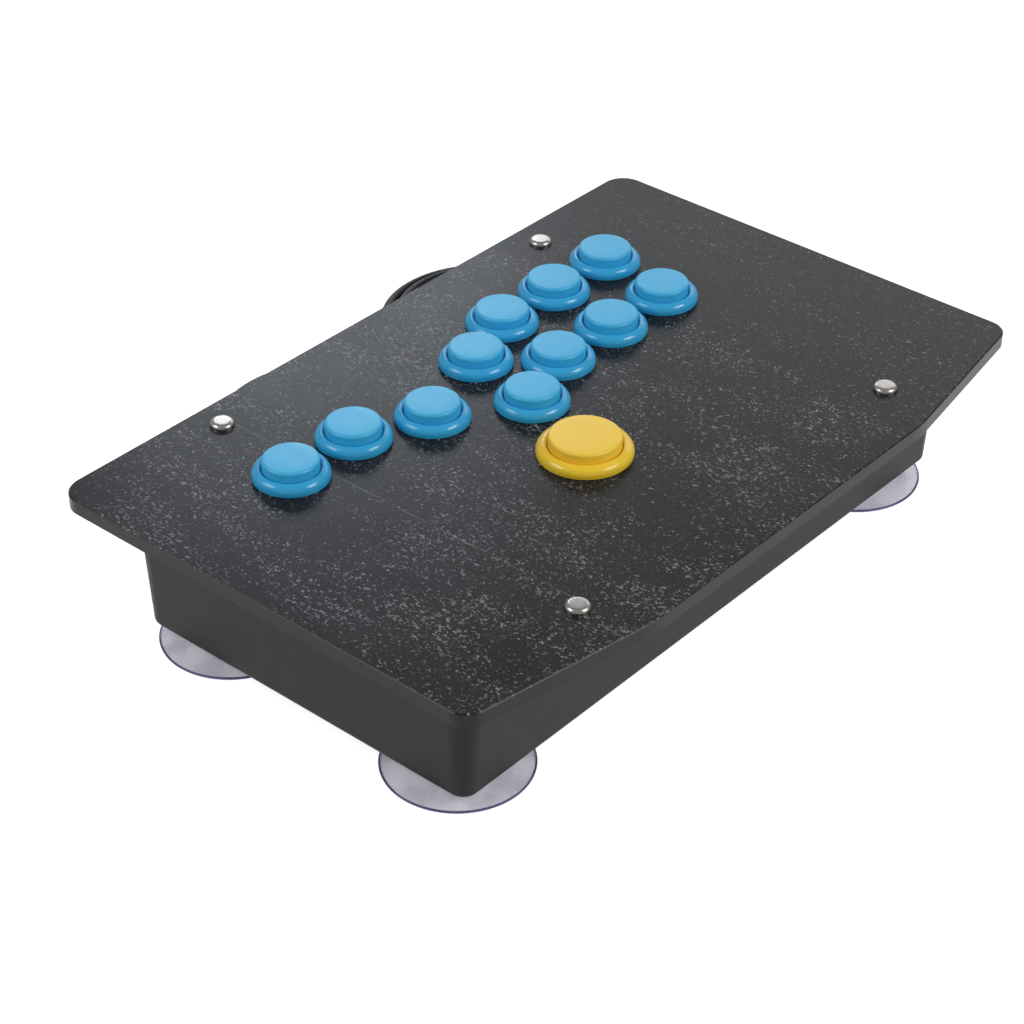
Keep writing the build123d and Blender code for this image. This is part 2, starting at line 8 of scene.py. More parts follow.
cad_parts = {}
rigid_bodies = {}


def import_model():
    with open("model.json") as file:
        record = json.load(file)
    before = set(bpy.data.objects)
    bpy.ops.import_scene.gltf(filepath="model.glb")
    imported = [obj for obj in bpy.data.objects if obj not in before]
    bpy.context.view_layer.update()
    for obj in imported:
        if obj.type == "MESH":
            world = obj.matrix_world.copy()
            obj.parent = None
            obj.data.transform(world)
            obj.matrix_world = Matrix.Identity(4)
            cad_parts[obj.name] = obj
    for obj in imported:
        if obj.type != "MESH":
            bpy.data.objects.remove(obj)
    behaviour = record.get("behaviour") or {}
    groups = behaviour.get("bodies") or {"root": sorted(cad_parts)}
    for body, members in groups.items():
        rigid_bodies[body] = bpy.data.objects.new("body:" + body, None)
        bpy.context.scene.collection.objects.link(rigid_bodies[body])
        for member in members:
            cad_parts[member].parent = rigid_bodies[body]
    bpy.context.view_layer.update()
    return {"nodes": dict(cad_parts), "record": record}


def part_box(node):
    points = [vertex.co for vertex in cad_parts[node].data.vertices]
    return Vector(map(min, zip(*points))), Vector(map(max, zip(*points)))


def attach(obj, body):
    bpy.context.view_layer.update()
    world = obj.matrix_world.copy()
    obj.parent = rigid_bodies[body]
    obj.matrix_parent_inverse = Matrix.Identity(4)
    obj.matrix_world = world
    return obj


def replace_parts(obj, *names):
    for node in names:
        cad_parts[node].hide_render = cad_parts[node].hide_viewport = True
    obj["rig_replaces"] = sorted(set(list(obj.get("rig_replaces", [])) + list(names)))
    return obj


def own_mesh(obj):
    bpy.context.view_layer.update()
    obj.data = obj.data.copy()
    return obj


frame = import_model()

# Pieces are drawn in millimetres in the row frame and scaled to metres at the end
MM = 0.001

# Camera: place in the row frame, the direction it looks back along, and roll
CAMERA_PLACE = (-0.63175, -0.51670, 0.59170)
CAMERA_AZIMUTH = -49.30
CAMERA_ELEVATION = 35.03
CAMERA_ROLL = 0.223
CAMERA_LENS = 94.64
SENSOR_WIDTH = 36.0

# The lead: its two free stretches, and the hank between them
CORD_DIAMETER = 4.0
GLAND_TIP = (-52.0, 107.3, 17.0)
PLUG_NECK_PLACE = (-55.0, 94.0, 4.0)
LEAD = [
    GLAND_TIP,
    (-52.0, 117.5, 17.0),
    (-47.0, 128.5, 14.0),
    (-39.0, 138.6, 9.8),
    (-29.4, 147.4, 6.7),
    (-18.3, 155.9, 5.3),
]
TAIL = [
    (4.4, 86.9, 2.0),
    (-12.0, 86.4, 2.0),
    (-27.0, 89.0, 2.6),
    (-41.0, 94.0, 4.0),
    PLUG_NECK_PLACE,
]
HANK_PLACE = (55.5, 131.8)
HANK_TURN_DEG = 3.25
LOBE_OFFSET = 51.2
TURN_STEP_DEG = 22
WAIST_POINT = 9.5
LEAD_JOINS_DEG = 120
TAIL_LEAVES_DEG = 280
# Each turn of the hank: its radius in the lobes, and its place in the waist (out, up)
TURNS = [(35.25, 6.0, 7.0), (33.0, 2.0, 7.0), (37.5, 2.0, 3.0), (42.0, 6.0, 3.0)]
# Between these two angles of the left lobe, the cord moves over to the turn's own radius
TRACK_CHANGES = [(224, 158), (224, 158), (246, 202), (268, 224)]

# The pieces on the lead: sizes of the strap's two faces (across, high, corner radius), the path
# of its loose end, and where the gland meets the case
STRAP_WIDTH = 10.0
STRAP_INSIDE = (16.4, 8.0, 2.2)
STRAP_OUTSIDE = (18.4, 10.0, 3.2)
STRAP_END_THICK = 0.9
STRAP_END = [(-3.0, 10.35), (0.0, 10.4), (4.5, 10.4), (7.2, 10.1)]
STRAP_END += [(9.0, 8.9), (9.6, 7.0), (9.6, 4.0)]
PLUG_WIDTH = 15.6
PLUG_HEIGHT = 8.0
PLUG_CORNER = 1.9
PLUG_GROOVES_AT = (-14.0, -17.6, -21.2)
PLUG_GROOVE_WIDTH = 14.8
GLAND_FACE = 82.8
GLAND_BACK = (75.1, 78.1)
GLAND_FLANGE_RADIUS = 7.0
GLAND_FLANGE_THICK = 2.5
GLAND_COLLAR_RADIUS = 6.5
GLAND_NECK_RADIUS = 4.9
GLAND_SLEEVE_RADIUS = 4.6
GLAND_SLEEVE_TAPER = 1.7
GLAND_GROOVES = 5
GLAND_GROOVE_DEPTH = 0.7
GLAND_PLAIN_END = 3.0

# Heights of the panel's upper face and of the case's underside, and the hair line's place across
PANEL_TOP = 64.0
CASE_UNDER = 7.2
HAIR_LINE_X = -85.1

# Buttons, as radii and heights above the panel
SMALL = {"rim": 14.0, "mouth": 10.6, "bore": 11.1, "barrel": 11.9, "cap": 10.3}
LARGE = {"rim": 17.5, "mouth": 13.6, "bore": 14.1, "barrel": 14.9, "cap": 13.3}
RIM_HEIGHT = 4.2
BARREL_UNDER = -22.0
BARREL_FLOOR = -20.0
STEM_RADIUS = 2.5
STEM_UNDER = -18.7
CAP_TOP = 7.7
CAP_EDGE = 1.1
CAP_ROOF = 2.0
CAP_WALL = 1.4
SKIRT_UNDER = -9.0
RIM_SEAT = -0.5
RUNNING_GAP = 0.1
SPRING_SEAT_RADIUS = 5.2
SPRING_SEAT_UNDER = -6.0
PIN_RADIUS = 1.2
PIN_UNDER = -23.5
SNAP_TOP = -5.6
SNAP_LENGTH = 5.0
SNAP_REACH = 1.4
SNAP_HALF_WIDTH = 2.5
CLIP_SECTION = (8.0, 1.4)
CLIP_OUT = 4.0
CLIP_ENDS = ((-21.0, 1.0), (-29.7, 1.0), (-30.0, 0.93))
SPRING_ENDS = (-19.95, -6.05)
SPRING_RADIUS = 4.2
SPRING_WIRE = 0.35
SPRING_TURNS = 6

# Light and floor
WORLD_STRENGTH = 0.33
FLOOR_GLOW = 0.82
FLOOR_HALF = 60.0

# Bolts and suction cups
BOLT_HEAD_RADIUS = 4.5
BOLT_HEAD_HEIGHT = 2.0
BOLT_RADIUS = 2.0
BOLT_UNDER = -13.5
CUP_LIP_RADIUS = 27.0
CUP_LIP_FLAT = 2.0
CUP_BOSS_RADIUS = 8.0
CUP_HOLLOW = 3.2

BUTTONS = ["left", "down", "right", "jump"]
BUTTONS += [f"{row}_{i}" for row in ("upper", "lower") for i in range(1, 5)]


# ---------------------------------------------------------------- camera

def looking_back(azimuth_deg, elevation_deg):
    """Unit vector from the object towards a camera or light at this azimuth and elevation."""
    a, e = math.radians(azimuth_deg), math.radians(elevation_deg)
    return Vector((math.sin(a) * math.cos(e), -math.cos(a) * math.cos(e), math.sin(e)))


def make_camera():
    back = looking_back(CAMERA_AZIMUTH, CAMERA_ELEVATION)
    data = bpy.data.cameras.new("camera")
    data.lens = CAMERA_LENS
    data.sensor_width = SENSOR_WIDTH
    camera = bpy.data.objects.new("camera", data)
    camera.location = CAMERA_PLACE
    camera.rotation_mode = "QUATERNION"
    roll = Quaternion((0, 0, 1), math.radians(CAMERA_ROLL))
    camera.rotation_quaternion = (-back).to_track_quat("-Z", "Y") @ roll
    bpy.context.scene.collection.objects.link(camera)
    bpy.context.scene.camera = camera


make_camera()


# ---------------------------------------------------------------- the lead

def eased(share):
    """0 to 1 with a soft start and end."""
    share = min(max(share, 0.0), 1.0)
    return share * share * (3 - 2 * share)


def left_lobe_radius(turn, angle):
    """Radius in the left lobe of the strand that goes on as this turn."""
    start, end = TRACK_CHANGES[turn]
    radius = TURNS[turn][0]
    before = TURNS[max(turn - 1, 0)][0]
    return before + (radius - before) * eased((start - angle) / (start - end))


def resting_height(radius, radius_below):
    """Height at which one strand rests on another one that lies on the ground."""
    side = radius - radius_below
    return CORD_DIAMETER / 2 + math.sqrt(max(0.0, CORD_DIAMETER**2 - side**2))


def hank_route():
    """The hank's turns in the cord's order, clockwise from above. The first is on top."""
    swell = 1 / math.cos(math.radians(TURN_STEP_DEG / 2))
    ground = CORD_DIAMETER / 2
    reach = 6 * TURN_STEP_DEG
    route = []

    def lobe_point(side, radius, angle, height):
        """A control point of an arc, moved out so that the curve keeps the radius."""
        a = math.radians(angle)
        x = side * LOBE_OFFSET + radius * swell * math.cos(a)
        route.append((x, radius * swell * math.sin(a), height))

    for turn, (radius, waist_out, waist_up) in enumerate(TURNS):
        on_top = radius == TURNS[0][0]
        for angle in range(180 + reach, 180 - reach - 1, -TURN_STEP_DEG):
            if turn == 0 and angle > LEAD_JOINS_DEG:
                continue
            own = left_lobe_radius(turn, angle)
            height = resting_height(own, left_lobe_radius(2, angle)) if turn < 2 else ground
            lobe_point(-1, own, angle, height)
        route.extend([(-WAIST_POINT, waist_out, waist_up), (WAIST_POINT, waist_out, waist_up)])
        height = resting_height(radius, TURNS[1][0]) if on_top else ground
        for angle in range(reach, -reach - 1, -TURN_STEP_DEG):
            lobe_point(1, radius, angle, height)
        route.extend([(WAIST_POINT, -waist_out, waist_up), (-WAIST_POINT, -waist_out, waist_up)])
    for angle in range(180 + reach, TAIL_LEAVES_DEG, -TURN_STEP_DEG):
        lobe_point(-1, TURNS[-1][0], angle, ground)
    turned = Matrix.Rotation(math.radians(HANK_TURN_DEG), 3, "Z")
    middle = Vector((*HANK_PLACE, 0))
    return [tuple(turned @ Vector(point) + middle) for point in route]


def make_cord():
    """One smooth curve: out of the gland, round the hank, and on to the plug."""
    points = LEAD + hank_route() + TAIL
    curve = bpy.data.curves.new("usb_cord", "CURVE")
    curve.dimensions = "3D"
    curve.bevel_depth = CORD_DIAMETER / 2 * MM
    curve.bevel_resolution = 5
    curve.resolution_u = 5
    curve.use_fill_caps = True
    spline = curve.splines.new("NURBS")
    spline.points.add(len(points) - 1)
    for target, point in zip(spline.points, points):
        target.co = (*(c * MM for c in point), 1.0)
    spline.order_u = 3
    spline.use_endpoint_u = True
    cord = bpy.data.objects.new("usb_cord", curve)
    bpy.context.scene.collection.objects.link(cord)
    return cord


usb_cord = make_cord()


# ---------------------------------------------------------------- materials

class Finish:
    """A node material with a Principled shader, and short ways to add nodes."""

    def __init__(self, name, color, roughness, **sockets):
        self.material = bpy.data.materials.new(name)
        self.material.use_nodes = True
        self.material.diffuse_color = (*color, 1.0)
        self.tree = self.material.node_tree
        self.shader = self.tree.nodes["Principled BSDF"]
        self.shader.inputs["Base Color"].default_value = (*color, 1.0)
        self.shader.inputs["Roughness"].default_value = roughness
        for socket, value in sockets.items():
            self.shader.inputs[socket.replace("_", " ")].default_value = value
        self.place = self.tree.nodes.new("ShaderNodeTexCoord").outputs["Object"]

    def plug(self, socket, value):
        """Links an output, or writes a number or colour, to a socket."""
        if isinstance(value, bpy.types.NodeSocket):
            self.tree.links.new(value, socket)
        elif isinstance(value, tuple) and len(value) == 3 and socket.type == "RGBA":
            socket.default_value = (*value, 1.0)
        else:
            socket.default_value = value

    def set(self, name, value):
        """Links or writes a value to a socket of the shader."""
        self.plug(self.shader.inputs[name], value)

    def math(self, operation, a, b=0.0, c=0.0):
        """One sum over numbers or outputs."""
        node = self.tree.nodes.new("ShaderNodeMath")
        node.operation = operation
        for socket, value in zip(node.inputs, (a, b, c)):
            self.plug(socket, value)
        return node.outputs[0]

    def span(self, value, low, high, to_low=0.0, to_high=1.0):
        """Maps low..high of a value smoothly to to_low..to_high, clamped."""
        node = self.tree.nodes.new("ShaderNodeMapRange")
        node.interpolation_type = "SMOOTHSTEP"
        for socket, x in zip(node.inputs, (value, low, high, to_low, to_high)):
            self.plug(socket, x)
        return node.outputs[0]

    def mix(self, factor, a, b):
        """A colour between a and b."""
        node = self.tree.nodes.new("ShaderNodeMix")
        node.data_type = "RGBA"
        for name, value in (("Factor_Float", factor), ("A_Color", a), ("B_Color", b)):
            socket = next(s for s in node.inputs if s.identifier == name)
            self.plug(socket, value)
        return next(s for s in node.outputs if s.identifier == "Result_Color")

    def stretched(self, x, y, z):
        """Object coordinates, scaled along each axis."""
        node = self.tree.nodes.new("ShaderNodeMapping")
        self.plug(node.inputs["Vector"], self.place)
        node.inputs["Scale"].default_value = (x, y, z)
        return node.outputs[0]

    def noise(self, scale, detail=2.0, roughness=0.5, place=None):
        node = self.tree.nodes.new("ShaderNodeTexNoise")
        self.plug(node.inputs["Vector"], place or self.place)
        node.inputs["Scale"].default_value = scale
        node.inputs["Detail"].default_value = detail
        node.inputs["Roughness"].default_value = roughness
        return node.outputs["Fac"]

    def axes(self):
        """The object coordinates X, Y and Z."""
        node = self.tree.nodes.new("ShaderNodeSeparateXYZ")
        self.plug(node.inputs[0], self.place)
        return node.outputs

    def bump(self, height, strength, distance):
        node = self.tree.nodes.new("ShaderNodeBump")
        self.plug(node.inputs["Height"], height)
        node.inputs["Strength"].default_value = strength
        node.inputs["Distance"].default_value = distance
        self.set("Normal", node.outputs[0])

    def mottle(self, color, other, scale, share=0.5):
        """Uneven colour between two close ones."""
        cloud = self.span(self.noise(scale, 4.0, 0.6), 0.35, 0.65, 0.0, share)
        self.set("Base Color", self.mix(cloud, color, other))


def panel_black():
    """Black board with pale ragged flecks in drifts, and one long hair line."""
    black, haze_black = (0.0100, 0.0100, 0.0110), (0.0145, 0.0145, 0.0162)
    flecked = (0.24, 0.24, 0.25)
    finish = Finish("panel_black", black, 0.29, Specular_IOR_Level=0.20)
    x, _, z = finish.axes()
    region = finish.span(finish.noise(13.0, 2.0, 0.6), 0.30, 0.54)
    streaks = finish.span(finish.noise(75.0, 3.0, 0.6, finish.stretched(1.0, 0.30, 1.0)), 0.30, 0.60)
    fewer_right = finish.span(x, 0.13, 0.02, 0.50, 1.0)
    region = finish.math("MULTIPLY_ADD", region, 0.55, 0.45)
    amount = finish.math("MULTIPLY", region, finish.math("MULTIPLY_ADD", streaks, 0.75, 0.25))
    amount = finish.math("MULTIPLY", amount, fewer_right)
    masks = []
    for scale, stretch, low in ((780.0, 0.58, 0.690), (1150.0, 0.75, 0.690)):
        specks = finish.noise(scale, 2.0, 0.65, finish.stretched(1.0, stretch, 1.0))
        limit = finish.math("MULTIPLY_ADD", amount, -0.106, low)
        masks.append(finish.span(finish.math("SUBTRACT", specks, limit), 0.0, 0.045))
    tone = finish.span(finish.noise(300.0, 2.0), 0.35, 0.65, 0.35, 1.0)
    flecks = finish.math("MULTIPLY", finish.math("MAXIMUM", *masks), tone)
    line_x = finish.math("MULTIPLY_ADD", finish.noise(9.0, 1.0), 0.0009, HAIR_LINE_X * MM)
    line = finish.span(finish.math("ABSOLUTE", finish.math("SUBTRACT", x, line_x)), 0.00030, 0.00010)
    broken = finish.span(finish.noise(60.0, 2.0), 0.42, 0.58, 0.05, 0.42)
    flecks = finish.math("MAXIMUM", flecks, finish.math("MULTIPLY", line, broken))
    on_top = finish.span(z, (PANEL_TOP - 0.38) * MM, (PANEL_TOP - 0.15) * MM)
    flecks = finish.math("MULTIPLY", flecks, on_top)
    haze = finish.span(finish.noise(22.0, 4.0, 0.6), 0.3, 0.7)
    finish.set("Base Color", finish.mix(flecks, finish.mix(haze, black, haze_black), flecked))
    grain = finish.noise(1500.0, 3.0)
    rough = finish.math("MULTIPLY_ADD", haze, 0.04, 0.26)
    finish.set("Roughness", finish.math("MULTIPLY_ADD", flecks, 0.06, rough))
    finish.bump(finish.math("ADD", grain, flecks), 0.10, 0.00008)
    return finish.material


def moulded(name, color, other, roughness, grain=1800.0, depth=0.00005, uneven=0.04, **sockets):
    """Moulded plastic: faint clouds of colour, fine grain, uneven gloss."""
    finish = Finish(name, color, roughness, **sockets)
    finish.mottle(color, other, 60.0)
    cloud = finish.noise(180.0, 4.0, 0.6)
    finish.set("Roughness", finish.span(cloud, 0.3, 0.7, roughness - uneven, roughness + uneven))
    finish.bump(finish.noise(grain, 3.0), 0.25, depth)
    return finish.material


def metal(name, color, other, roughness):
    """Plated or drawn metal with fine marks."""
    finish = Finish(name, color, roughness, Metallic=1.0)
    finish.mottle(color, other, 400.0)
    marks = finish.noise(2200.0, 2.0)
    finish.set("Roughness", finish.span(marks, 0.2, 0.9, roughness - 0.03, roughness + 0.04))
    finish.bump(marks, 0.05, 0.00001)
    return finish.material


def clear_vinyl(name, color, other, transmission):
    """Clear soft vinyl with cloudy patches and a slightly wavy face."""
    finish = Finish(name, color, 0.26, Transmission_Weight=transmission, IOR=1.40)
    cloud = finish.span(finish.noise(90.0, 3.0), 0.35, 0.65)
    finish.set("Base Color", finish.mix(cloud, color, other))
    finish.set("Roughness", finish.math("MULTIPLY_ADD", cloud, 0.12, 0.20))
    finish.bump(finish.noise(140.0, 2.0), 0.2, 0.0002)
    return finish.material


def circuit_green():
    """Solder mask with copper tracks that show through as lighter lines."""
    finish = Finish("circuit_green", (0.01, 0.12, 0.05), 0.3, Coat_Weight=0.4)
    node = finish.tree.nodes.new("ShaderNodeTexBrick")
    finish.plug(node.inputs["Vector"], finish.place)
    node.inputs["Scale"].default_value = 90.0
    node.inputs["Mortar Size"].default_value = 0.03
    node.inputs["Color1"].default_value = (0.008, 0.10, 0.045, 1.0)
    node.inputs["Color2"].default_value = (0.012, 0.13, 0.055, 1.0)
    node.inputs["Mortar"].default_value = (0.05, 0.26, 0.10, 1.0)
    finish.set("Base Color", node.outputs["Color"])
    finish.bump(node.outputs["Fac"], 0.2, 0.0001)
    return finish.material


def woven_strap():
    """Hook-and-loop strap: a close weave with a fuzzy face."""
    finish = Finish("woven_strap", (0.018, 0.018, 0.02), 0.85, Sheen_Weight=0.3)
    x, y, z = finish.axes()
    warp = finish.math("SINE", finish.math("MULTIPLY", x, 9000.0))
    weft = finish.math("SINE", finish.math("MULTIPLY", finish.math("ADD", y, z), 9000.0))
    weave = finish.math("MULTIPLY", warp, weft)
    light = finish.span(weave, -1.0, 1.0)
    finish.set("Base Color", finish.mix(light, (0.008, 0.008, 0.010), (0.028, 0.028, 0.031)))
    finish.bump(finish.math("ADD", weave, finish.noise(3000.0, 2.0)), 0.5, 0.0002)
    return finish.material


MATERIALS = {
    "black_panel": panel_black(),
    "black_case": moulded(
        "case_black",
        (0.0060, 0.0060, 0.0064),
        (0.0074, 0.0074, 0.0079),
        0.44,
        uneven=0.01,
        Specular_IOR_Level=0.22,
    ),
    "nickel_bolt": metal("nickel_bolt", (0.50, 0.475, 0.45), (0.46, 0.435, 0.41), 0.28),
    "zinc_steel": metal("zinc_steel", (0.60, 0.61, 0.63), (0.52, 0.53, 0.56), 0.32),
    "clear_vinyl": clear_vinyl("clear_vinyl", (0.88, 0.86, 0.93), (0.72, 0.70, 0.80), 0.35),
    "blue_button": moulded(
        "blue_gloss", (0.035, 0.410, 0.750), (0.031, 0.390, 0.720), 0.20, 900.0, 0.00002
    ),
    # Cap: the collar's blue plastic with a satin top. Its base colour is lighter than the collar's,
    # which is painted light from above and a painted sheen on the top.
    "blue_button_cap": moulded(
        "blue_satin_painted_lit_top", (0.046, 0.462, 0.800), (0.042, 0.444, 0.780), 0.34, 900.0, 0.00002
    ),
    "yellow_button": moulded(
        "yellow_gloss", (0.950, 0.640, 0.035), (0.930, 0.620, 0.031), 0.20, 900.0, 0.00002
    ),
    # Cap: the collar's yellow plastic with a satin top. Its base colour is paler than the collar's,
    # which is painted light from above and a painted sheen on the top.
    "yellow_button_cap": moulded(
        "yellow_satin_painted_lit_top", (0.970, 0.640, 0.048), (0.950, 0.620, 0.044), 0.34, 900.0, 0.00002
    ),
    "spring_steel": metal("spring_steel", (0.55, 0.55, 0.56), (0.47, 0.47, 0.48), 0.28),
    "switch_plastic": moulded("switch_plastic", (0.035, 0.035, 0.036), (0.045, 0.045, 0.046), 0.5),
    "terminal_brass": metal("terminal_brass", (0.72, 0.55, 0.27), (0.64, 0.47, 0.22), 0.3),
    "green_board": circuit_green(),
    "white_header": moulded("white_header", (0.72, 0.70, 0.64), (0.66, 0.64, 0.58), 0.45),
    "black_chip": moulded("black_chip", (0.015, 0.015, 0.016), (0.022, 0.022, 0.023), 0.55),
    "cord_rubber": moulded(
        "cord_rubber", (0.008, 0.008, 0.009), (0.012, 0.012, 0.013), 0.32, Specular_IOR_Level=0.3
    ),
    "tie_strap": woven_strap(),
    "plug_rubber": moulded("plug_rubber", (0.012, 0.012, 0.013), (0.017, 0.017, 0.018), 0.5),
    "plug_metal": metal("plug_metal", (0.66, 0.66, 0.67), (0.58, 0.58, 0.60), 0.25),
}
LIP_VINYL = clear_vinyl("lip_vinyl", (0.085, 0.080, 0.200), (0.130, 0.120, 0.280), 0.10)
SLOTS = {row["node"]: row["material_slot"] for row in frame["record"]["subparts"]}
BODIES = frame["record"]["behaviour"]["bodies"]
BODY_OF = {node: body for body, nodes in BODIES.items() for node in nodes}


def dress(obj, slot):
    """Gives a piece the finish of one of the record's slots."""
    obj.data.materials.clear()
    obj.data.materials.append(MATERIALS[slot])


# ---------------------------------------------------------------- mesh helpers

def new_piece(name, mesh, stands_for, place=(0, 0, 0)):
    """A finished piece that stands for one CAD node and takes its body and slot."""
    piece = bpy.data.objects.new(name, mesh)
    bpy.context.scene.collection.objects.link(piece)
    piece.location = [c * MM for c in place]
    claim(piece, stands_for)
    return piece


def claim(piece, *nodes):
    """The piece takes the body, slot and finish of the CAD nodes it stands for."""
    dress(piece, SLOTS[nodes[0]])
    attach(piece, BODY_OF[nodes[0]])
    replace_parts(piece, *nodes)


def arc(start, through, end, count):
    """Points of the circular arc through three points, without the first."""
    a, b, c = (Vector(p) for p in (start, through, end))
    d = 2 * (a.x * (b.y - c.y) + b.x * (c.y - a.y) + c.x * (a.y - b.y))
    squares = [p.length_squared for p in (a, b, c)]
    middle = Vector(
        (
            (squares[0] * (b.y - c.y) + squares[1] * (c.y - a.y) + squares[2] * (a.y - b.y)) / d,
            (squares[0] * (c.x - b.x) + squares[1] * (a.x - c.x) + squares[2] * (b.x - a.x)) / d,
        )
    )
    spokes = [p - middle for p in (a, b, c)]
    sweep = spokes[0].angle_signed(spokes[1]) + spokes[1].angle_signed(spokes[2])
    points = []
    for i in range(1, count + 1):
        turned = spokes[0].copy()
        turned.rotate(Matrix.Rotation(-sweep * i / count, 2))
        points.append(tuple(middle + turned))
    return points


def turn_into(shape, profile, steps=96, place=(0, 0)):
    """Adds a surface turned about Z. A radius of 0 is a pole; without poles the profile closes."""
    rings = []
    for radius, height in profile:
        if radius == 0:
            rings.append([shape.verts.new((*place, height))])
            continue
        angles = [2 * math.pi * i / steps for i in range(steps)]
        spots = [(place[0] + radius * math.cos(a), place[1] + radius * math.sin(a)) for a in angles]
        rings.append([shape.verts.new((*spot, height)) for spot in spots])
    if profile[0][0]:
        rings.append(rings[0])
    for low, high in zip(rings, rings[1:]):
        for i in range(steps):
            j = (i + 1) % steps
            corners = [low[i % len(low)], low[j % len(low)]]
            corners += [high[j % len(high)], high[i % len(high)]]
            unique = list(dict.fromkeys(corners))
            if len(unique) > 2:
                shape.faces.new(unique)


def skin(shape, rings, closed=False):
    """Adds a surface over rings of points, capped at both ends unless it closes on itself."""
    made = [[shape.verts.new(point) for point in ring] for ring in rings]
    pairs = list(zip(made, made[1:]))
    if closed:
        pairs.append((made[-1], made[0]))
    else:
        shape.faces.new(made[0])
        shape.faces.new(made[-1])
    for low, high in pairs:
        for i in range(len(low)):
            j = (i + 1) % len(low)
            shape.faces.new((low[i], low[j], high[j], high[i]))


def rounded(width, height, radius, count=5):
    """Points round a rectangle with rounded corners, about its middle."""
    points = []
    for quarter in range(4):
        right, up = (1, -1, -1, 1)[quarter], (1, 1, -1, -1)[quarter]
        middle = (right * (width / 2 - radius), up * (height / 2 - radius))
        for i in range(count + 1):
            a = math.radians(90 * (quarter + i / count))
            points.append((middle[0] + radius * math.cos(a), middle[1] + radius * math.sin(a)))
    return points


def finished_mesh(name, shape, crease_deg=32.0):
    """Millimetres to metres, faces outward, smooth but for the sharp edges."""
    mesh = bpy.data.meshes.new(name)
    bmesh.ops.scale(shape, vec=(MM, MM, MM), verts=shape.verts)
    bmesh.ops.recalc_face_normals(shape, faces=shape.faces)
    shape.to_mesh(mesh)
    shape.free()
    mesh.polygons.foreach_set("use_smooth", [True] * len(mesh.polygons))
    mesh.set_sharp_from_angle(angle=math.radians(crease_deg))
    mesh.update()
    return mesh


# ---------------------------------------------------------------- the lead's pieces

def strap_mesh():
    """Strap round the hank's waist, its loose end lying over the top and down one side."""
    shape = bmesh.new()
    middle = STRAP_OUTSIDE[1] / 2
    rings = []
    for (y0, z0), (y1, z1) in zip(rounded(*STRAP_INSIDE), rounded(*STRAP_OUTSIDE)):
        thick = math.dist((y0, z0), (y1, z1))
        ring = []
        for across, out in rounded(STRAP_WIDTH, thick, 0.3, 2):
            share = 0.5 + out / thick
            ring.append((across, y0 + (y1 - y0) * share, middle + z0 + (z1 - z0) * share))
        rings.append(ring)
    skin(shape, rings, closed=True)
    section = rounded(STRAP_WIDTH - 0.6, STRAP_END_THICK, 0.3, 2)
    skin(shape, [[(across, y, z + out) for across, out in section] for y, z in STRAP_END])
    turned = Matrix.Rotation(math.radians(HANK_TURN_DEG), 3, "Z")
    bmesh.ops.rotate(shape, verts=shape.verts, matrix=turned)
    return finished_mesh("hank_strap", shape)


def plug_mesh():
    """Moulded grip: round neck, swelling shoulder, ribbed body."""
    full = (PLUG_WIDTH, PLUG_HEIGHT, PLUG_CORNER)
    narrow = (PLUG_GROOVE_WIDTH, PLUG_HEIGHT, PLUG_CORNER)
    sections = [(0.2, 5.4, 5.4, 2.69), (-0.3, 6.2, 6.2, 3.09), (-5.5, 6.4, 6.4, 3.19)]
    sections += [(-6.2, 7.4, 6.8, 3.3), (-7.4, 11.6, 7.4, 3.2), (-9.0, 15.0, 7.9, 2.6)]
    sections.append((-10.5, *full))
    for x in PLUG_GROOVES_AT:
        sections += [(x, *full), (x - 0.4, *narrow), (x - 1.6, *narrow), (x - 2.0, *full)]
    sections += [(-32.0, *full), (-32.8, 15.2, 7.6, 1.8), (-33.0, 14.4, 6.8, 1.6)]
    shape = bmesh.new()
    skin(shape, [[(x, y, z) for y, z in rounded(*section, 7)] for x, *section in sections])
    return finished_mesh("plug_grip", shape, 40.0)


def gland_mesh():
    """Strain relief: flange on the case, and a sleeve that narrows in soft rings."""
    inner, near = GLAND_BACK
    start, end = GLAND_FACE + GLAND_FLANGE_THICK, GLAND_TIP[1]
    collar, neck, flange = GLAND_COLLAR_RADIUS, GLAND_NECK_RADIUS, GLAND_FLANGE_RADIUS
    profile = [(0, inner), (collar - 0.3, inner), (collar, inner + 0.3), (collar, near)]
    profile += [(neck, near), (neck, GLAND_FACE), (flange - 0.2, GLAND_FACE)]
    profile += [(flange, GLAND_FACE + 0.25), (flange, start - 0.5), (flange - 0.5, start)]
    pitch = (end - start - GLAND_PLAIN_END) / GLAND_GROOVES
    deep = GLAND_GROOVE_DEPTH
    for i in range(GLAND_GROOVES):
        for share, depth in ((0.0, 0.0), (0.55, 0.0), (0.62, deep), (0.93, deep)):
            at = start + pitch * (i + share)
            radius = GLAND_SLEEVE_RADIUS - GLAND_SLEEVE_TAPER * (at - start) / (end - start)
            profile.append((radius - depth, at))
    profile += [(3.1, end - GLAND_PLAIN_END), (2.95, end - 0.4), (2.6, end), (0, end)]
    shape = bmesh.new()
    turn_into(shape, profile, 64)
    bmesh.ops.rotate(shape, verts=shape.verts, matrix=Matrix.Rotation(math.radians(-90), 3, "X"))
    return finished_mesh("lead_gland", shape, 28.0)


claim(usb_cord, "usb_cord_lead", "usb_cord_hank", "usb_cord_tail")
strap = new_piece("hank_strap", strap_mesh(), "hank_tie", (*HANK_PLACE, 0))
plug = new_piece("plug_grip", plug_mesh(), "plug_body", PLUG_NECK_PLACE)
gland = new_piece("lead_gland", gland_mesh(), "cable_gland", (GLAND_TIP[0], 0, GLAND_TIP[2]))


# ---------------------------------------------------------------- buttons

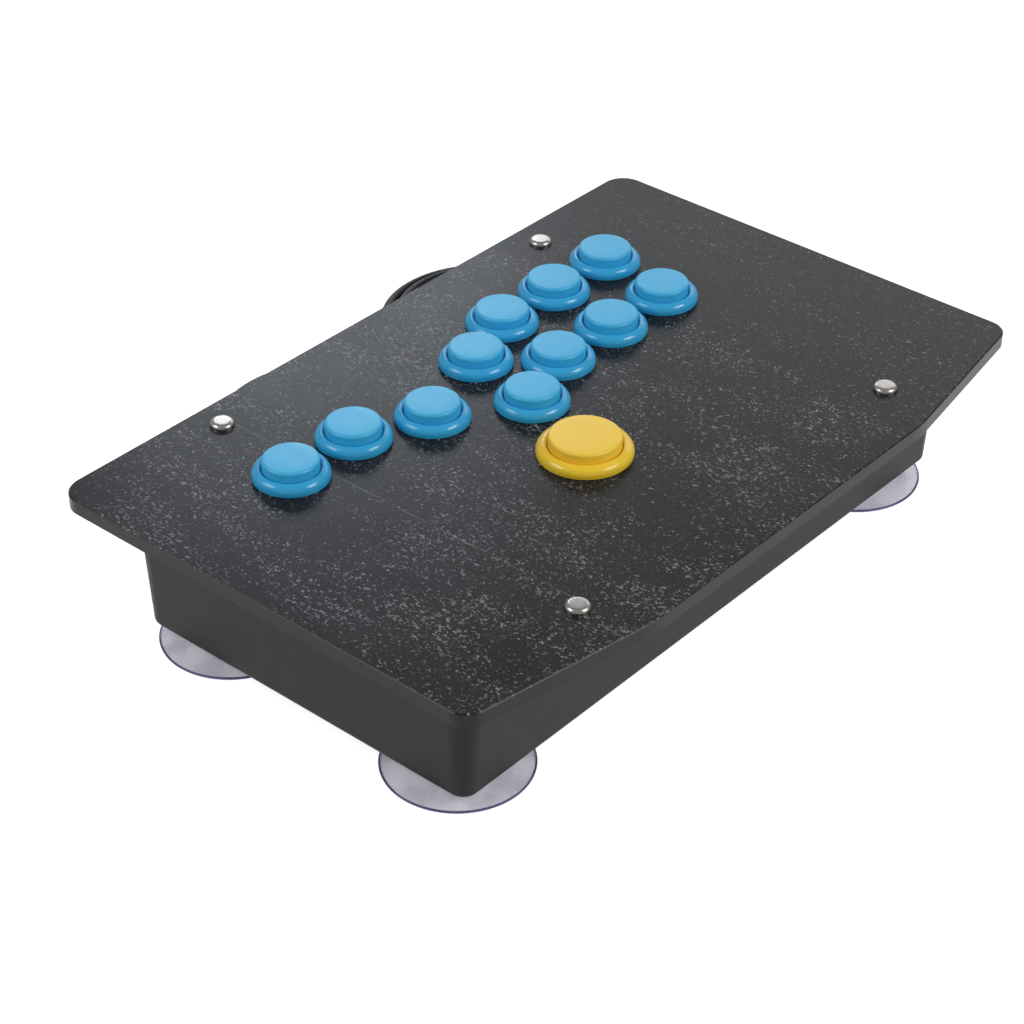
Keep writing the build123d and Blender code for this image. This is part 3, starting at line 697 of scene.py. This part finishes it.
def housing_mesh(size):
    """Rounded collar, barrel with its floor, two snap hooks and the switch's clips."""
    crest = (size["mouth"] + 1.3, RIM_HEIGHT)
    lip = (size["mouth"], RIM_HEIGHT - 0.55)
    side = (size["rim"], 0.7)
    profile = [(size["barrel"], 0), (size["rim"] - 0.25, 0), (size["rim"], 0.25), side]
    profile += arc(side, (size["rim"] - 0.75, RIM_HEIGHT - 0.95), crest, 12)
    profile += arc(crest, (size["mouth"] + 0.45, RIM_HEIGHT - 0.12), lip, 5)
    profile += [(size["mouth"], RIM_SEAT), (size["bore"], RIM_SEAT), (size["bore"], BARREL_FLOOR)]
    guide = STEM_RADIUS + RUNNING_GAP
    profile += [(guide, BARREL_FLOOR), (guide, BARREL_UNDER)]
    profile += [(size["barrel"] - 0.4, BARREL_UNDER), (size["barrel"], BARREL_UNDER + 0.4)]
    shape = bmesh.new()
    turn_into(shape, profile)
    start, reach = size["barrel"] - 0.3, size["barrel"] + SNAP_REACH
    hook = [(start, SNAP_TOP), (reach - 0.3, SNAP_TOP), (reach, SNAP_TOP - 0.3)]
    hook.append((start, SNAP_TOP - SNAP_LENGTH))
    clip = rounded(*CLIP_SECTION, 0.3, 2)
    for sign in (-1, 1):
        sides = (-SNAP_HALF_WIDTH, SNAP_HALF_WIDTH)
        skin(shape, [[(sign * r, y, z) for r, z in hook] for y in sides])
        skin(shape, [[(x * s, sign * CLIP_OUT + y * s, z) for x, y in clip] for z, s in CLIP_ENDS])
    return finished_mesh("housing", shape)


def plunger_mesh(size):
    """Cap with a rounded edge, guide skirt, spring seat, stem and switch pin."""
    cap, skirt = size["cap"], size["bore"] - RUNNING_GAP
    seat_under, roof = RIM_SEAT - RUNNING_GAP, CAP_TOP - CAP_ROOF
    edge = CAP_EDGE * (1 - math.sqrt(0.5))
    start, end = (cap - CAP_EDGE, CAP_TOP), (cap, CAP_TOP - CAP_EDGE)
    profile = [(0, CAP_TOP), (cap * 0.5, CAP_TOP), start]
    profile += arc(start, (cap - edge, CAP_TOP - edge), end, 8)
    profile += [(cap, seat_under), (skirt, seat_under), (skirt, SKIRT_UNDER)]
    profile += [(cap - CAP_WALL, SKIRT_UNDER), (cap - CAP_WALL, roof), (SPRING_SEAT_RADIUS, roof)]
    profile += [(SPRING_SEAT_RADIUS, SPRING_SEAT_UNDER), (STEM_RADIUS, SPRING_SEAT_UNDER)]
    profile += [(STEM_RADIUS, STEM_UNDER + 0.3), (STEM_RADIUS - 0.3, STEM_UNDER)]
    profile += [(PIN_RADIUS, STEM_UNDER), (PIN_RADIUS, PIN_UNDER + 0.3)]
    profile += [(PIN_RADIUS - 0.3, PIN_UNDER), (0, PIN_UNDER)]
    shape = bmesh.new()
    turn_into(shape, profile)
    return finished_mesh("plunger", shape)


def spring_mesh():
    """Round wire in even turns."""
    low, high = SPRING_ENDS[0] + SPRING_WIRE, SPRING_ENDS[1] - SPRING_WIRE
    steps, sides = 20, 8
    rings = []
    for i in range(SPRING_TURNS * steps + 1):
        share = i / (SPRING_TURNS * steps)
        a = 2 * math.pi * SPRING_TURNS * share
        out = Vector((math.cos(a), math.sin(a), 0))
        middle = SPRING_RADIUS * out + Vector((0, 0, low + (high - low) * share))
        ring = []
        for k in range(sides):
            b = 2 * math.pi * k / sides
            ring.append(middle + SPRING_WIRE * (out * math.cos(b) + Vector((0, 0, math.sin(b)))))
        rings.append(ring)
    shape = bmesh.new()
    skin(shape, rings)
    return finished_mesh("spring", shape, 60.0)


def button_place(label):
    """Middle of the button's hole, at the panel's upper face, and its size."""
    low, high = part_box(f"{label}_housing")
    size = LARGE if (high[0] - low[0]) / MM > 2 * SMALL["rim"] + 2 else SMALL
    return ((low[0] + high[0]) / 2 / MM, (low[1] + high[1]) / 2 / MM, PANEL_TOP), size


for label in BUTTONS:
    place, size = button_place(label)
    new_piece(f"{label}_collar", housing_mesh(size), f"{label}_housing", place)
    new_piece(f"{label}_cap", plunger_mesh(size), f"{label}_plunger", place)
    coil = new_piece(f"{label}_coil", spring_mesh(), f"{label}_spring", place)
    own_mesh(coil)


# ---------------------------------------------------------------- bolts and cups

def corner_places(node, reach):
    """Middles of the four parts of a node that stand in a rectangle, from its box."""
    low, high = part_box(node)
    xs = (low[0] / MM + reach, high[0] / MM - reach)
    ys = (low[1] / MM + reach, high[1] / MM - reach)
    return [(x, y) for x in xs for y in ys]


def bolt_mesh():
    """Flat-topped head with a round shoulder, on its shank, at each corner."""
    top = PANEL_TOP + BOLT_HEAD_HEIGHT
    shoulder = (BOLT_HEAD_RADIUS, PANEL_TOP + 0.5)
    crown = (BOLT_HEAD_RADIUS - 1.7, top)
    profile = [(0, top), (1.4, top), crown]
    profile += arc(crown, (BOLT_HEAD_RADIUS - 0.55, top - 0.42), shoulder, 8)
    profile += [(BOLT_HEAD_RADIUS, PANEL_TOP + 0.02), (BOLT_RADIUS, PANEL_TOP + 0.02)]
    under = PANEL_TOP + BOLT_UNDER
    profile += [(BOLT_RADIUS, under + 0.4), (BOLT_RADIUS - 0.4, under), (0, under)]
    shape = bmesh.new()
    for place in corner_places("panel_bolts", BOLT_HEAD_RADIUS):
        turn_into(shape, profile, 64, place)
    return finished_mesh("bolts", shape)


def cup_mesh():
    """Shallow cups on their lips, hollow under, each with a boss against the case."""
    boss, flat = CUP_BOSS_RADIUS, CUP_LIP_RADIUS - CUP_LIP_FLAT
    foot, edge = (boss, CASE_UNDER - 1.2), (CUP_LIP_RADIUS - 0.7, 1.0)
    profile = [(0, CASE_UNDER), (boss - 0.3, CASE_UNDER), (boss, CASE_UNDER - 0.3), foot]
    profile += arc(foot, (18.5, 3.6), edge, 20)
    profile.append((flat + 0.6, 0.05))
    profile += arc((flat, 0.05), (14.0, 2.2), (0.6, CUP_HOLLOW), 16) + [(0, CUP_HOLLOW)]
    shape = bmesh.new()
    for place in corner_places("suction_cups", CUP_LIP_RADIUS):
        turn_into(shape, profile, 96, place)
    return finished_mesh("cups", shape)


def cup_lip_mesh():
    """The thin rounded rim round each cup."""
    across, up = 0.42, 0.5
    middle = CUP_LIP_RADIUS - across
    turns = [2 * math.pi * i / 10 for i in range(10)]
    profile = [(middle + across * math.cos(a), up + up * math.sin(a)) for a in turns]
    shape = bmesh.new()
    for place in corner_places("suction_cups", CUP_LIP_RADIUS):
        turn_into(shape, profile, 96, place)
    return finished_mesh("cup_lips", shape, 60.0)


new_piece("bolts", bolt_mesh(), "panel_bolts")
new_piece("cups", cup_mesh(), "suction_cups")
cup_lips = new_piece("cup_lips", cup_lip_mesh(), "suction_cups")
cup_lips.data.materials[0] = LIP_VINYL

replaced = {node for piece in bpy.data.objects for node in piece.get("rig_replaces", [])}
for node, obj in frame["nodes"].items():
    if node not in replaced:
        dress(obj, SLOTS[node])


# ---------------------------------------------------------------- light and stage

def soft_box(name, azimuth_deg, elevation_deg, distance, width, height, power, color=(1, 1, 1)):
    """A rectangular light that faces the object's middle."""
    data = bpy.data.lights.new(name, "AREA")
    data.shape = "RECTANGLE"
    data.size, data.size_y = width, height
    data.energy = power
    data.color = color
    light = bpy.data.objects.new(name, data)
    back = looking_back(azimuth_deg, elevation_deg)
    light.location = Vector((0, 0, 0.05)) + back * distance
    light.rotation_mode = "QUATERNION"
    light.rotation_quaternion = (-back).to_track_quat("-Z", "Y")
    bpy.context.scene.collection.objects.link(light)


def make_studio():
    world = bpy.data.worlds.new("studio")
    bpy.context.scene.world = world
    world.use_nodes = True
    world.node_tree.nodes["Background"].inputs["Color"].default_value = (1, 1, 1, 1)
    world.node_tree.nodes["Background"].inputs["Strength"].default_value = WORLD_STRENGTH
    soft_box("box_left", -122, 38, 1.3, 0.6, 0.5, 4.8)
    soft_box("box_right", 18, 38, 1.3, 0.6, 0.5, 6.8)
    soft_box("box_behind", 140, 28, 1.5, 0.4, 0.3, 1.9, (0.84, 0.91, 1.0))
    soft_box("box_far_right", 108, 26, 1.7, 1.2, 0.6, 3.0, (0.96, 0.97, 1.0))
    mesh = bpy.data.meshes.new("floor")
    half = FLOOR_HALF
    corners = [(-half, -half, 0), (half, -half, 0), (half, half, 0), (-half, half, 0)]
    mesh.from_pydata(corners, [], [(0, 1, 2, 3)])
    floor = bpy.data.objects.new("floor", mesh)
    bpy.context.scene.collection.objects.link(floor)
    finish = Finish("pale_floor", (0.60, 0.60, 0.60), 0.9)
    finish.set("Emission Color", (1.0, 1.0, 1.0))
    finish.set("Emission Strength", FLOOR_GLOW)
    mesh.materials.append(finish.material)
    bpy.context.scene.view_settings.view_transform = "Standard"


make_studio()
